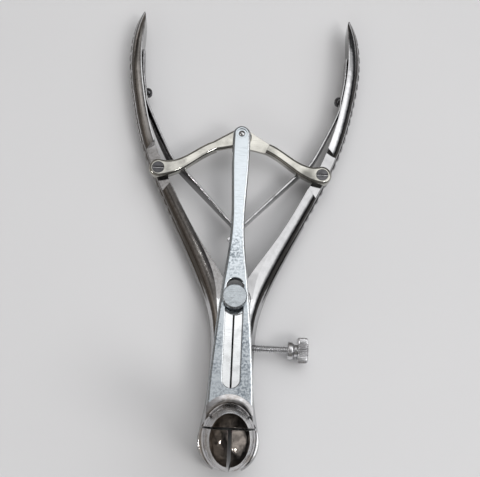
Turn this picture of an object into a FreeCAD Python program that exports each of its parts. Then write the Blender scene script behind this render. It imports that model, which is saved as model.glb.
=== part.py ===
import FreeCAD, Part
import math
import os
from FreeCAD import Vector

# Three-prong anal speculum, lying on its back with the blades pointing up.
# The origin is on the hinge axis in the plane it lies on: +Y to the handle tips,
# +X to the right arm, +Z along the closed blades. All sizes are in millimetres.

# Heights of the layers, from the plane it lies on
joint_height = 12.2
handle_height = 11.0
arm_mid_z = joint_height / 2
lap_gap = 0.2
flat_gap = 0.2
link_gap = 0.1
plate_thickness = 1.5
plate_gap = 0.2
bar_gap = 0.3
bar_thickness = 3.0
disc_gap = 0.2
disc_thickness = 3.2

# Running fits and working gaps
running_gap = 0.05
fixed_gap = 0.02
shank_gap = 0.7
slot_gap = 0.15
lug_gap = 0.2

# Arms: outer edge of the right arm from the handle tip down to the jaw
handle_span = 102.4
bow_x, bow_y = handle_span / 2, 111.0
tip_x, tip_y = bow_x - 4.6, 131.7
shoulder_x, shoulder_y = bow_x - 1.9, 125.2
grip_x, grip_y = bow_x - 2.3, 91.0
waist_x, waist_y = 43.3, 68.5
lower_x, lower_y = 32.4, 43.0
flank_x, flank_y = 21.2, 20.5
throat_x, throat_y = 14.6, 6.4
hip_x, hip_y = 10.3, -6.0
shank_x, shank_y = 8.8, -20.0
calf_x, calf_y = 9.0, -33.0
ankle_x, ankle_y = 10.3, -45.0
tip_width, tip_height = 1.0, 3.4
shoulder_width, shoulder_height = 4.4, 8.8
handle_width = 5.8
lower_width = 6.0
flank_width = 7.2
throat_width = 9.6
shank_width = 11.0
handle_land = 0.5
nose_depth_ratio = 0.17
nose_height_ratio = 0.37
slope_crown_ratio = 0.11
throat_land = 3.2
shank_land = 7.2

# Grip: shallow scallops across the back of each handle, running out towards its slopes
grip_start_y, grip_end_y = 119.0, 33.0
groove_pitch = 4.2
groove_width = 3.4
groove_depth = 0.45
groove_sweep_radius = 6.0
groove_wrap = 35.0

# Half-lap hinge and pivot screw
lug_radius = 6.3
pivot_radius = 2.5
shoulder_radius = 3.2
disc_radius = 4.95
disc_chamfer = 0.45
nut_radius = 4.2
nut_thickness = 2.4

# Head: three blades that close to an oval bullet, leaning a little away from the handles
head_y = -55.3
collar_radius = 11.4
collar_wall = 3.5
lumen_radius = collar_radius - collar_wall
jaw_bulge = 0.6
jaw_bottom_inset = 1.0
jaw_end_angle = -62.0
jaw_root_angle = 88.0
blade_base_radius = collar_radius - 2.0
blade_top_radius = 6.6
blade_depth_ratio = 1.28
blade_lean = 4.5
blade_offset = 0.7
blade_tip_z = 72.0
dome_height = 2.9
blade_wall = 1.8
flare_reach = 3.4
flare_radius = 2.8
flare_slope = 12.0
flare_step = 0.9
rim_fillet = 0.4
split_y = 3.5
cross_slit = 0.7
side_slit = 1.2

# Slide bar
rivet_y = 70.9
bar_eye_radius = 3.6
bar_neck_y = 28.0
bar_neck_half = 2.85
bar_mid_y = 48.0
bar_mid_half = 3.3
bar_swell_y = 8.0
bar_swell_half = 4.9
bar_shoulder_y = -20.0
bar_shoulder_half = 7.7
bar_foot_half = 8.95
bar_foot_y = -42.0
bar_edge_fillet = 1.0
slot_edge_fillet = 0.45
slot_top_y = 8.0
slot_bottom_y = -35.5

# Links
link_screw_x, link_screw_y = 34.4, 55.1
link_thickness = 3.2
link_eye_radius = 4.0
link_edge_fillet = 1.2
link_elbow_x, link_elbow_y = 28.6, 55.9
link_step_x, link_step_y = 11.2, 66.2
link_elbow_width = 5.6
link_arm_width = 4.5
plate_eye_radius = 4.3
rivet_play_x, rivet_play_y = 1.76, -1.46
rivet_play_side = 0.4

# Link screws and rivet
screw_radius = 1.5
screw_head_radius = 2.5
screw_head_height = 1.1
screw_slot_width = 0.6
screw_slot_depth = 0.6
screw_depth = 5.0
rivet_radius = 1.3
rivet_recess_radius = 2.2
rivet_recess_depth = 0.5
rivet_dome = 0.5
washer_radius = 3.3
washer_thickness = 0.8
tail_radius = 2.2
tail_height = 0.8

# Milled flats under the links
flat_up_length = 11.4
flat_down_length = 8.8
flat_slant = 20.0

# Leaf springs
spring_thickness = 0.9
spring_width = 5.4
spring_gap = 0.1
spring_top_y = 112.0
spring_leave_y = 82.0
spring_cross_y = 30.3
spring_angle = 46.3
spring_run_x = 31.0
tongue_length = 5.5
tongue_width = 2.4
fork_length = 2.4
fork_gap = 0.5
spring_screw_y = 90.2
spring_screw_radius = 1.1
spring_screw_depth = 3.0
spring_head_radius = 2.2
spring_head_height = 2.1

# Thumb screw
thumb_y = -18.3
thread_radius = 1.45
thumb_tip_x = 0.1
thread_end_x = 21.0
collar_start_x = 22.0
collar_width = 2.4
collar_disc_radius = 3.75
neck_radius = 1.2
knob_start_x = 26.0
knob_width = 4.2
knob_radius = 5.1
knob_chamfer = 0.5
knob_boss_radius = 2.6
knurl_count = 36
knurl_depth = 0.3

# Layer heights that follow from the sizes above
bar_bottom = joint_height + bar_gap
bar_top = bar_bottom + bar_thickness
link_top = bar_bottom - link_gap
link_bottom = link_top - link_thickness
right_plate_top = link_bottom + plate_thickness
left_plate_bottom = right_plate_top + plate_gap
flat_z = link_bottom - flat_gap
disc_bottom = bar_top + disc_gap
disc_top = disc_bottom + disc_thickness
flare_angle = math.radians(flare_slope)
flare_run = flare_reach - flare_radius * (1 - math.sin(flare_angle))
flare_z = bar_top + flare_step + flare_run * math.tan(flare_angle) + flare_radius * math.cos(flare_angle)
blade_shoulder_z = blade_tip_z - dome_height
head_axis = Vector(0, head_y, 0)
UP = Vector(0, 0, 1)
far = 200.0


def box(x0, x1, y0, y1, z0, z1):
    return Part.makeBox(x1 - x0, y1 - y0, z1 - z0, Vector(x0, y0, z0))


def post(radius, x, y, z0, z1):
    return Part.makeCylinder(radius, z1 - z0, Vector(x, y, z0), UP)


def rod(radius, start, direction, length):
    return Part.makeCylinder(radius, length, start, direction)


def mirrored(shape):
    return shape.mirror(Vector(0, 0, 0), Vector(1, 0, 0))


def curve(points):
    spline = Part.BSplineCurve()
    spline.interpolate(points)
    return spline


def prism(edges, z0, z1):
    face = Part.Face(Part.Wire(edges))
    solid = face.extrude(Vector(0, 0, z1 - z0))
    solid.translate(Vector(0, 0, z0))
    return solid


def polygon(points):
    corners = [Vector(x, y, 0) for x, y in points]
    return [Part.LineSegment(a, b).toShape() for a, b in zip(corners, corners[1:] + corners[:1])]


def turned(outline, centre, degrees=360.0, start=0.0):
    """Solid of revolution about the vertical line through centre, outline as (radius, z) edges."""
    face = Part.Face(Part.Wire(outline))
    face.rotate(Vector(0, 0, 0), UP, start)
    face.translate(centre)
    return face.revolve(centre, UP, degrees)


def line(a, b):
    return Part.LineSegment(Vector(a[0], 0, a[1]), Vector(b[0], 0, b[1])).toShape()


def arc(a, through, b):
    points = [Vector(p[0], 0, p[1]) for p in (a, through, b)]
    return Part.Arc(*points).toShape()


# Arms

ARM_STATIONS = [
    (tip_x, tip_y, tip_width, tip_height, tip_width * 0.2),
    (shoulder_x, shoulder_y, shoulder_width, shoulder_height, handle_land),
    (bow_x, bow_y, handle_width, handle_height, handle_land),
    (grip_x, grip_y, handle_width, handle_height, handle_land),
    (waist_x, waist_y, handle_width, handle_height, handle_land),
    (lower_x, lower_y, lower_width, handle_height, handle_land),
    (flank_x, flank_y, flank_width, joint_height, handle_land),
    (throat_x, throat_y, throat_width, joint_height, throat_land),
    (hip_x, hip_y, shank_width, joint_height, shank_land),
    (shank_x, shank_y, shank_width, joint_height, shank_land),
    (calf_x, calf_y, shank_width, joint_height, shank_land),
    (ankle_x, ankle_y, shank_width, joint_height, shank_land),
    (collar_radius + jaw_bulge, head_y, collar_radius - lumen_radius + 2 * jaw_bulge, joint_height, jaw_bulge * 4),
]
arm_outer = curve([Vector(s[0], s[1], 0) for s in ARM_STATIONS])


def arm_frame(point):
    """Direction towards the tip and inward normal of the arm's outer edge at a point near it."""
    direction = arm_outer.tangent(arm_outer.parameter(point))[0]
    if direction.y < 0:
        direction = direction * -1
    return direction, Vector(-direction.y, direction.x, 0)


def arm_section(station):
    """Section across the arm: flat inner face, narrow lands, crowned slopes and a rounded back."""
    x, y, width, height, land = station
    back = Vector(x, y, arm_mid_z)
    inward = arm_frame(Vector(x, y, 0))[1]
    top = Vector(0, 0, height / 2)
    inner = back + inward * width
    edge = back + inward * (width - land)
    nose = back + inward * ((width - land) * nose_depth_ratio)
    nose_top = top * nose_height_ratio
    middle = (edge + nose) / 2
    crown_out = inward * ((top - nose_top).Length * slope_crown_ratio)
    crown_up = UP * ((edge - nose).Length * slope_crown_ratio)
    upper_crown = middle + (top + nose_top) / 2 + crown_up - crown_out
    lower_crown = middle - (top + nose_top) / 2 - crown_up - crown_out
    outline = [
        Part.LineSegment(inner - top, inner + top),
        Part.LineSegment(inner + top, edge + top),
        Part.Arc(edge + top, upper_crown, nose + nose_top),
        Part.Arc(nose + nose_top, back, nose - nose_top),
        Part.Arc(nose - nose_top, lower_crown, edge - top),
        Part.LineSegment(edge - top, inner - top),
    ]
    return Part.Wire([piece.toShape() for piece in outline])


def inner_face_point(y):
    """Point of the handle's inner face at a height y, with the inward normal there."""
    parameter = arm_outer.parameter(Vector(bow_x, y, 0))
    back = arm_outer.value(parameter)
    inward = arm_frame(back)[1]
    return back + inward * handle_width, inward


def jaw():
    """C-shaped end of an arm, half round the head, with a bulged outer wall."""
    outer = collar_radius
    bottom = collar_radius - jaw_bottom_inset
    outline = [
        line((lumen_radius, 0), (bottom, 0)),
        arc((bottom, 0), (outer + jaw_bulge, arm_mid_z), (outer, joint_height)),
        line((outer, joint_height), (lumen_radius, joint_height)),
        line((lumen_radius, joint_height), (lumen_radius, 0)),
    ]
    return turned(outline, head_axis, jaw_root_angle - jaw_end_angle, jaw_end_angle)


def milled_flat():
    """Cutter for the seat of a link on top of the right handle, with slanted ends."""
    centre = Vector(link_screw_x, link_screw_y, 0)
    along, inward = arm_frame(centre)
    reach = lower_width * 1.5
    shear = math.tan(math.radians(flat_slant)) * reach
    corners = []
    for length, side in ((flat_up_length, 1), (flat_up_length, -1), (-flat_down_length, -1), (-flat_down_length, 1)):
        corner = centre + along * (length + side * shear) + inward * (side * reach)
        corners.append((corner.x, corner.y))
    return prism(polygon(corners), flat_z, joint_height * 2)


def grip_grooves():
    """Cutters for the scallops of the grip, each a ring segment swept across the handle's back."""
    groove_radius = ((groove_width / 2) ** 2 + groove_depth ** 2) / (2 * groove_depth)
    ring_radius = groove_sweep_radius + groove_radius
    first = arm_outer.parameter(Vector(bow_x, grip_start_y, 0))
    last = arm_outer.parameter(Vector(lower_x, grip_end_y, 0))
    count = int(arm_outer.length(min(first, last), max(first, last)) / groove_pitch)
    cutters = []
    for index in range(count + 1):
        parameter = first + (last - first) * index / count
        back = arm_outer.value(parameter)
        along, inward = arm_frame(back)
        centre = back + inward * (groove_depth + groove_sweep_radius) + UP * arm_mid_z
        ring = Part.Wire(Part.makeCircle(groove_radius, centre - inward * ring_radius, UP))
        section = Part.Face(ring)
        section.rotate(centre, along, -groove_wrap)
        cutters.append(section.revolve(centre, along, 2 * groove_wrap))
    return cutters


def arm(lug_low, pivot_hole):
    """Right-hand arm in one forging: handle, half of the lap joint, shank and jaw."""
    forging = Part.makeLoft([arm_section(s) for s in ARM_STATIONS], True, False)
    forging = forging.fuse(jaw())
    forging = forging.cut(box(-far, shank_gap / 2, -far, far, -1, joint_height + 1))
    forging = forging.cut(post(lumen_radius, 0, head_y, -1, joint_height + 1))
    mid_low = arm_mid_z - lap_gap / 2
    mid_high = arm_mid_z + lap_gap / 2
    own, other = ((0, mid_low), (mid_low, joint_height + 1))
    if not lug_low:
        own, other = ((mid_high, joint_height), (-1, mid_high))
    forging = forging.cut(post(lug_radius + lug_gap, 0, 0, other[0], other[1]))
    forging = forging.fuse(post(lug_radius, 0, 0, own[0], own[1]))
    forging = forging.cut(post(pivot_hole, 0, 0, -1, joint_height + 1))
    forging = forging.cut(grip_grooves())
    forging = forging.cut(milled_flat())
    forging = forging.cut(post(screw_radius + fixed_gap, link_screw_x, link_screw_y,
                               flat_z - screw_depth, joint_height))
    seat, inward = inner_face_point(spring_screw_y)
    seat = Vector(seat.x, seat.y, arm_mid_z)
    hole = rod(spring_screw_radius + fixed_gap, seat + inward, inward * -1, 1 + spring_screw_depth)
    return forging.cut(hole).removeSplitter()


def right_arm():
    solid = arm(True, pivot_radius + running_gap)
    solid = solid.cut(post(nut_radius + running_gap, 0, 0, -1, nut_thickness))
    across = rod(thread_radius + running_gap, Vector(0, thumb_y, arm_mid_z), Vector(1, 0, 0), shank_x * 2)
    return solid.cut(across)


def left_arm():
    return mirrored(arm(False, pivot_radius + running_gap))


# Blades

def dome_point(radius, centre_z, angle):
    """Point (radius, z) of a round tip at an angle from its top."""
    return radius * math.sin(angle), centre_z + radius * math.cos(angle)


def made_oval(shape, ratio):
    """Shape stretched along Y about the head's axis."""
    matrix = FreeCAD.Matrix()
    matrix.A22 = ratio
    matrix.A24 = head_y * (1 - ratio)
    return shape.transformGeometry(matrix)


def leaned(shape):
    """Shape leaned away from the handles, pushed off the axis by blade_offset at the top of the flare."""
    slope = math.tan(math.radians(blade_lean))
    matrix = FreeCAD.Matrix()
    matrix.A23 = -slope
    matrix.A24 = blade_offset + slope * flare_z
    return shape.transformGeometry(matrix)


def bullet():
    """Closed blades as one hollow oval body: stepped foot, concave flare, cone and round tip."""
    foot_z = joint_height - 1
    flare_outer = blade_base_radius + flare_reach
    flare_end = (flare_outer - flare_run, flare_z - flare_radius * math.cos(flare_angle))
    middle = (math.pi / 2 + flare_angle) / 2
    flare_mid = (blade_base_radius + flare_radius * (1 - math.sin(middle)), flare_z - flare_radius * math.cos(middle))
    dome = (blade_top_radius ** 2 + dome_height ** 2) / (2 * dome_height)
    dome_z = blade_tip_z - dome
    tip_mid = dome_point(dome, dome_z, math.asin(blade_top_radius / dome) / 2)
    outer = turned([
        line((0, foot_z), (flare_outer, foot_z)),
        line((flare_outer, foot_z), (flare_outer, bar_top + flare_step)),
        line((flare_outer, bar_top + flare_step), flare_end),
        arc(flare_end, flare_mid, (blade_base_radius, flare_z)),
        line((blade_base_radius, flare_z), (blade_top_radius, blade_shoulder_z)),
        arc((blade_top_radius, blade_shoulder_z), tip_mid, (0, blade_tip_z)),
        line((0, blade_tip_z), (0, foot_z)),
    ], head_axis)
    rim = [e for e in outer.Edges if e.BoundBox.ZLength < 0.01 and abs(e.BoundBox.ZMin - blade_shoulder_z) < 0.01]
    outer = outer.makeFillet(rim_fillet, rim)
    inner_base = blade_base_radius - blade_wall
    inner_top = blade_top_radius - blade_wall
    hollow = dome - blade_wall
    rim_angle = math.asin(inner_top / hollow)
    hollow_mid = dome_point(hollow, dome_z, rim_angle / 2)
    hollow_edge = dome_point(hollow, dome_z, rim_angle)
    inner = turned([
        line((0, foot_z), (lumen_radius, foot_z)),
        line((lumen_radius, foot_z), (inner_base, flare_z)),
        line((inner_base, flare_z), hollow_edge),
        arc(hollow_edge, hollow_mid, (0, dome_z + hollow)),
        line((0, dome_z + hollow), (0, foot_z)),
    ], head_axis)
    mean = (blade_base_radius + blade_top_radius) / 2
    hollow_ratio = (mean * blade_depth_ratio - blade_wall) / (mean - blade_wall)
    return made_oval(outer, blade_depth_ratio).cut(made_oval(inner, hollow_ratio))


def blade_room(bottom):
    """Space that blades may fill: inside the collar up to the top of the flare, free above it."""
    collar = post(collar_radius, 0, head_y, bottom, flare_z)
    return collar.fuse(box(-far, far, -far, far, flare_z, far))


def right_blade():
    side = box(side_slit / 2, far, -far, head_y + split_y - cross_slit / 2, 0, far)
    return leaned(bullet()).common(blade_room(joint_height)).common(leaned(side))


def centre_blade():
    upper = box(-far, far, head_y + split_y + cross_slit / 2, far, 0, far)
    over_bar = prism(bar_outline(), bar_top, flare_z)
    return leaned(bullet()).common(blade_room(bar_bottom).fuse(over_bar)).common(leaned(upper))


# Slide bar and links

def bar_outline():
    """Outline of the bar: round eye, slim stem, swelling round the slot, wide foot."""
    flank = [
        (bar_eye_radius, rivet_y),
        (bar_mid_half, bar_mid_y),
        (bar_neck_half, bar_neck_y),
        (bar_swell_half, bar_swell_y),
        (bar_shoulder_half, bar_shoulder_y),
        (bar_foot_half, bar_foot_y),
        (bar_foot_half, head_y + split_y + collar_radius / 2),
    ]
    right = curve([Vector(x, y, 0) for x, y in flank]).toShape()
    left = curve([Vector(-x, y, 0) for x, y in flank]).toShape()
    eye = Part.Arc(Vector(bar_eye_radius, rivet_y, 0), Vector(0, rivet_y + bar_eye_radius, 0),
                   Vector(-bar_eye_radius, rivet_y, 0)).toShape()
    foot_y = flank[-1][1]
    foot = Part.LineSegment(Vector(bar_foot_half, foot_y, 0), Vector(-bar_foot_half, foot_y, 0)).toShape()
    return [eye, right, foot, left]


def bar_slot():
    half = shoulder_radius + slot_gap
    top = slot_top_y - half
    bottom = slot_bottom_y + half
    cutter = box(-half, half, bottom, top, bar_bottom - 1, bar_top + 1)
    for y in (top, bottom):
        cutter = cutter.fuse(post(half, 0, y, bar_bottom - 1, bar_top + 1))
    return cutter


def slide_bar():
    bar = prism(bar_outline(), bar_bottom, bar_top)
    rim = [e for e in bar.Edges if e.BoundBox.ZMin > bar_top - 0.01 and e.BoundBox.YMax > head_y + collar_radius]
    bar = bar.makeFillet(bar_edge_fillet, rim)
    bar = bar.cut(bar_slot())
    half = shoulder_radius + slot_gap
    mouth = [e for e in bar.Edges if e.BoundBox.ZMin > bar_top - 0.01 and e.BoundBox.XMin > -half - 0.01
             and e.BoundBox.XMax < half + 0.01 and slot_bottom_y - 0.01 < e.BoundBox.YMin
             and e.BoundBox.YMax < slot_top_y + 0.01]
    bar = bar.makeFillet(slot_edge_fillet, mouth)
    bar = bar.cut(post(collar_radius, 0, head_y, bar_bottom - 1, bar_top + 1))
    bar = bar.cut(post(rivet_radius + fixed_gap, 0, rivet_y, bar_bottom - 1, bar_top + 1))
    return bar.cut(post(rivet_recess_radius, 0, rivet_y, bar_top - rivet_recess_depth, bar_top + 1))


def link_arm_outline():
    """Arm of the right link: widths set square to a bent centre line."""
    spine = curve([Vector(link_screw_x, link_screw_y, 0), Vector(link_elbow_x, link_elbow_y, 0),
                   Vector((link_elbow_x + link_step_x) / 2, (link_elbow_y + link_step_y) / 2 - 0.2, 0),
                   Vector(link_step_x, link_step_y, 0)])
    first, last = spine.FirstParameter, spine.LastParameter
    upper, lower = [], []
    for share, width in ((0, 2 * link_eye_radius), (0.3, link_elbow_width), (0.65, link_arm_width), (1, link_arm_width)):
        parameter = first + share * (last - first)
        along = spine.tangent(parameter)[0]
        side = Vector(along.y, -along.x, 0) * (width / 2)
        upper.append(spine.value(parameter) + side)
        lower.append(spine.value(parameter) - side)
    top = curve(upper)
    bottom = curve(lower)
    edges = [top.toShape(), Part.LineSegment(upper[-1], lower[-1]).toShape(), bottom.toShape(),
             Part.LineSegment(lower[0], upper[0]).toShape()]
    return edges, upper[-1], lower[-1]


def tangent_point(centre, radius, point, side):
    """Where the line from point touches the circle, on the side given by +1 or -1."""
    offset = point - centre
    angle = math.atan2(offset.y, offset.x) + side * math.acos(radius / offset.Length)
    return centre + Vector(math.cos(angle), math.sin(angle), 0) * radius


def link(plate_low):
    """Right-hand link: full-thickness arm with round eye, stepped down to a thin plate at the rivet."""
    edges, step_top, step_bottom = link_arm_outline()
    solid = prism(edges, link_bottom, link_top)
    solid = solid.fuse(post(link_eye_radius, link_screw_x, link_screw_y, link_bottom, link_top))
    pin = Vector(0, rivet_y, 0)
    high = tangent_point(pin, plate_eye_radius, step_top, 1)
    low = tangent_point(pin, plate_eye_radius, step_bottom, -1)
    plate_z = (link_bottom, right_plate_top) if plate_low else (left_plate_bottom, link_top)
    outline = [(p.x, p.y) for p in (step_top, high, pin, low, step_bottom)]
    plate = prism(polygon(outline), plate_z[0], plate_z[1])
    plate = plate.fuse(post(plate_eye_radius, 0, rivet_y, plate_z[0], plate_z[1]))
    solid = solid.fuse(plate).removeSplitter()
    step = (step_top + step_bottom) / 2 + UP * link_top
    rim = [e for e in solid.Edges if e.BoundBox.ZMin > link_top - 0.01 and (e.CenterOfMass - step).Length > 0.01]
    solid = solid.makeFillet(link_edge_fillet, rim)
    half = rivet_radius + rivet_play_side
    end = Vector(rivet_play_x, rivet_y + rivet_play_y, 0)
    reach = Vector(rivet_play_x, rivet_play_y, 0)
    side = Vector(-rivet_play_y, rivet_play_x, 0).normalize() * half
    corners = [pin + side, pin + reach + side, pin + reach - side, pin - side]
    play = prism(polygon([(p.x, p.y) for p in corners]), 0, far)
    play = play.fuse(post(half, 0, rivet_y, 0, far)).fuse(post(half, end.x, end.y, 0, far))
    solid = solid.cut(play)
    solid = solid.cut(post(screw_radius + running_gap, link_screw_x, link_screw_y, 0, far))
    head = post(screw_head_radius + running_gap, link_screw_x, link_screw_y, link_top - screw_head_height, far)
    return solid.cut(head).removeSplitter()


def right_link():
    return link(True)


def left_link():
    return mirrored(link(False))


# Fasteners

def link_screw():
    """Slotted screw, its head flush in the link's eye and its end in the handle."""
    head_bottom = link_top - screw_head_height + flat_gap / 2
    screw = post(screw_radius, link_screw_x, link_screw_y, flat_z - screw_depth, head_bottom)
    screw = screw.fuse(post(screw_head_radius, link_screw_x, link_screw_y, head_bottom, link_top))
    slot = box(link_screw_x - far, link_screw_x + far, link_screw_y - screw_slot_width / 2,
               link_screw_y + screw_slot_width / 2, link_top - screw_slot_depth, far)
    return screw.cut(slot)


def link_rivet():
    """Rivet fixed in the bar's eye, through both link plates, spread over the washer behind."""
    head_bottom = link_bottom - plate_gap - washer_thickness
    shaft = post(rivet_radius, 0, rivet_y, head_bottom, bar_top - rivet_dome / 2)
    outline = [
        line((0, 0), (rivet_radius, 0)),
        arc((rivet_radius, 0), (rivet_radius * 0.6, rivet_dome * 0.72), (0, rivet_dome)),
        line((0, rivet_dome), (0, 0)),
    ]
    dome = turned(outline, Vector(0, rivet_y, bar_top - rivet_dome / 2))
    tail = Part.makeCone(tail_radius * 0.7, tail_radius, tail_height, Vector(0, rivet_y, head_bottom - tail_height))
    return shaft.fuse(dome).fuse(tail).removeSplitter()


def rivet_washer():
    top = link_bottom - plate_gap
    ring = post(washer_radius, 0, rivet_y, top - washer_thickness, top)
    return ring.cut(post(rivet_radius + fixed_gap, 0, rivet_y, 0, far))


def pivot_screw():
    """Pivot through both halves of the joint, shoulder in the bar's slot and flat disc head."""
    screw = post(pivot_radius, 0, 0, 0, bar_bottom - bar_gap / 2)
    screw = screw.fuse(post(shoulder_radius, 0, 0, bar_bottom - bar_gap / 2, disc_bottom))
    disc = post(disc_radius, 0, 0, disc_bottom, disc_top)
    rims = [e for e in disc.Edges if isinstance(e.Curve, Part.Circle)]
    return screw.fuse(disc.makeChamfer(disc_chamfer, rims)).removeSplitter()


def pivot_nut():
    """Round nut sunk in the back of the joint, with two slots for a pin wrench."""
    ring = post(nut_radius, 0, 0, 0, nut_thickness - fixed_gap)
    ring = ring.cut(post(pivot_radius + fixed_gap, 0, 0, 0, far))
    slot = box(-far, far, -screw_slot_width, screw_slot_width, -1, screw_slot_depth)
    core = post(pivot_radius + screw_slot_width, 0, 0, 0, far)
    return ring.cut(slot.cut(core))


# Leaf springs

def spring_line(x):
    """Height y of the straight run of the right leaf at x."""
    return spring_cross_y + x * math.tan(math.radians(spring_angle))


def spring_path():
    """Middle line of the right leaf: along the handle's inner face, then straight to the bar."""
    off = spring_gap + spring_thickness / 2
    points = []
    for share in (0, 0.35, 0.7, 1):
        y = spring_top_y + share * (spring_leave_y - spring_top_y)
        seat, inward = inner_face_point(y)
        points.append(seat + inward * off)
    for share in (1, 0.8, 0.5, 0.2):
        x = spring_run_x * share
        points.append(Vector(x, spring_line(x), 0))
    return points


def leaf(past):
    """Strip of the right leaf, its end run past the crossing by the given length."""
    points = spring_path()
    run = Vector(math.cos(math.radians(spring_angle)), math.sin(math.radians(spring_angle)), 0)
    points.append(Vector(0, spring_cross_y, 0) - run * past)
    middle = curve(points)
    half = spring_thickness / 2
    sides = ([], [])
    count = 3 * len(points)
    for index in range(count + 1):
        share = index / count
        parameter = middle.FirstParameter + share * (middle.LastParameter - middle.FirstParameter)
        along = middle.tangent(parameter)[0]
        across = Vector(-along.y, along.x, 0) * half
        sides[0].append(middle.value(parameter) + across)
        sides[1].append(middle.value(parameter) - across)
    edges = [curve(sides[0]).toShape(), Part.LineSegment(sides[0][-1], sides[1][-1]).toShape(),
             curve(sides[1]).toShape(), Part.LineSegment(sides[1][0], sides[0][0]).toShape()]
    strip = prism(edges, arm_mid_z - spring_width / 2, arm_mid_z + spring_width / 2)
    seat, inward = inner_face_point(spring_screw_y)
    seat = Vector(seat.x, seat.y, arm_mid_z)
    return strip.cut(rod(spring_screw_radius + spring_gap, seat - inward, inward, far / 10))


def right_spring():
    """Leaf whose end narrows to a tongue that passes through the other leaf."""
    strip = leaf(tongue_length)
    top = spring_line(tongue_length * 0.5)
    for z0, z1 in ((0, arm_mid_z - tongue_width / 2), (arm_mid_z + tongue_width / 2, far)):
        strip = strip.cut(box(-far, far, -far, top, z0, z1))
    return strip


def left_spring():
    """Leaf whose end is forked round the other leaf's tongue."""
    strip = leaf(fork_length)
    half = tongue_width / 2 + fork_gap
    notch = box(-far, far, -far, spring_line(fork_length), arm_mid_z - half, arm_mid_z + half)
    return mirrored(strip.cut(notch))


def spring_screw():
    """Dome-headed screw that holds the right leaf to the handle's inner face."""
    seat, inward = inner_face_point(spring_screw_y)
    seat = Vector(seat.x, seat.y, arm_mid_z)
    under = spring_gap * 2 + spring_thickness
    shank = rod(spring_screw_radius, seat - inward * (spring_screw_depth - spring_gap), inward,
                spring_screw_depth - spring_gap + under)
    outline = [
        line((0, 0), (spring_head_radius, 0)),
        line((spring_head_radius, 0), (spring_head_radius, spring_head_height * 0.3)),
        arc((spring_head_radius, spring_head_height * 0.3),
            (spring_head_radius * 0.75, spring_head_height * 0.75), (0, spring_head_height)),
        line((0, spring_head_height), (0, 0)),
    ]
    head = turned(outline, Vector(0, 0, 0))
    slot = box(-far, far, -screw_slot_width / 2, screw_slot_width / 2, spring_head_height - screw_slot_depth, far)
    head = head.cut(slot)
    head.Placement = FreeCAD.Placement(seat + inward * under, FreeCAD.Rotation(UP, inward))
    return shank.fuse(head)


# Thumb screw

def along_x(outline):
    """Solid turned about the thumb screw's axis, outline given as (radius, x) edges."""
    solid = turned(outline, Vector(0, 0, 0))
    solid.rotate(Vector(0, 0, 0), Vector(0, 1, 0), 90)
    solid.translate(Vector(0, thumb_y, arm_mid_z))
    return solid


def steps(profile):
    """Closed outline of (radius, x) steps, back along the axis."""
    points = [(0, profile[0][1])] + profile + [(0, profile[-1][1])]
    return [line(a, b) for a, b in zip(points, points[1:] + points[:1])]


def thumb_screw_spindle():
    collar_end = collar_start_x + collar_width
    round_off = collar_width * 0.3
    profile = [
        (thread_radius * 0.7, thumb_tip_x),
        (thread_radius, thumb_tip_x + thread_radius * 0.4),
        (thread_radius, thread_end_x),
        (neck_radius, thread_end_x + (thread_radius - neck_radius)),
        (neck_radius, collar_start_x),
        (collar_disc_radius - round_off, collar_start_x),
        (collar_disc_radius, collar_start_x + round_off),
        (collar_disc_radius, collar_end - round_off),
        (collar_disc_radius - round_off, collar_end),
        (thread_radius, collar_end),
        (thread_radius, knob_start_x + knob_width),
    ]
    return along_x(steps(profile))


def thumb_screw_knob():
    """Straight-knurled head with a short boss that turns against the collar."""
    start, end = knob_start_x, knob_start_x + knob_width
    boss = collar_start_x + collar_width + disc_gap
    bore = thread_radius + running_gap
    profile = [
        (knob_boss_radius, boss),
        (knob_boss_radius, start),
        (knob_radius - knob_chamfer, start),
        (knob_radius, start + knob_chamfer),
        (knob_radius, end - knob_chamfer),
        (knob_radius - knob_chamfer, end),
    ]
    blank = along_x(steps(profile))
    rim = []
    for tooth in range(knurl_count):
        for part, radius in ((0, knob_radius), (0.5, knob_radius), (0.75, knob_radius - knurl_depth)):
            angle = 2 * math.pi * (tooth + part) / knurl_count
            rim.append((radius * math.cos(angle), radius * math.sin(angle)))
    knurled = prism(polygon(rim), 0, end)
    knurled.rotate(Vector(0, 0, 0), Vector(0, 1, 0), 90)
    knurled.translate(Vector(0, thumb_y, arm_mid_z))
    hole = rod(bore, Vector(0, thumb_y, arm_mid_z), Vector(1, 0, 0), far)
    return blank.common(knurled).cut(hole)


NODES = {
    "right_arm": right_arm,
    "left_arm": left_arm,
    "right_blade": right_blade,
    "left_blade": lambda: mirrored(right_blade()),
    "centre_blade": centre_blade,
    "slide_bar": slide_bar,
    "right_link": right_link,
    "left_link": left_link,
    "right_link_screw": link_screw,
    "left_link_screw": lambda: mirrored(link_screw()),
    "link_rivet": link_rivet,
    "rivet_washer": rivet_washer,
    "pivot_screw": pivot_screw,
    "pivot_nut": pivot_nut,
    "right_spring": right_spring,
    "left_spring": left_spring,
    "right_spring_screw": spring_screw,
    "left_spring_screw": lambda: mirrored(spring_screw()),
    "thumb_screw_spindle": thumb_screw_spindle,
    "thumb_screw_knob": thumb_screw_knob,
}


def main():
    os.makedirs("parts", exist_ok=True)
    for node, make in NODES.items():
        shape = make()
        solids = shape.Solids
        print(node, "solids", len(solids), "valid", shape.isValid(), "volume", round(shape.Volume, 1))
        shape = solids[0] if len(solids) == 1 else shape
        shape.exportStep("parts/" + node + ".step")


main()
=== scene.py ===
import math

import bmesh
import bpy
from bpy.props import FloatProperty, FloatVectorProperty, PointerProperty
from mathutils import Matrix, Vector


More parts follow.
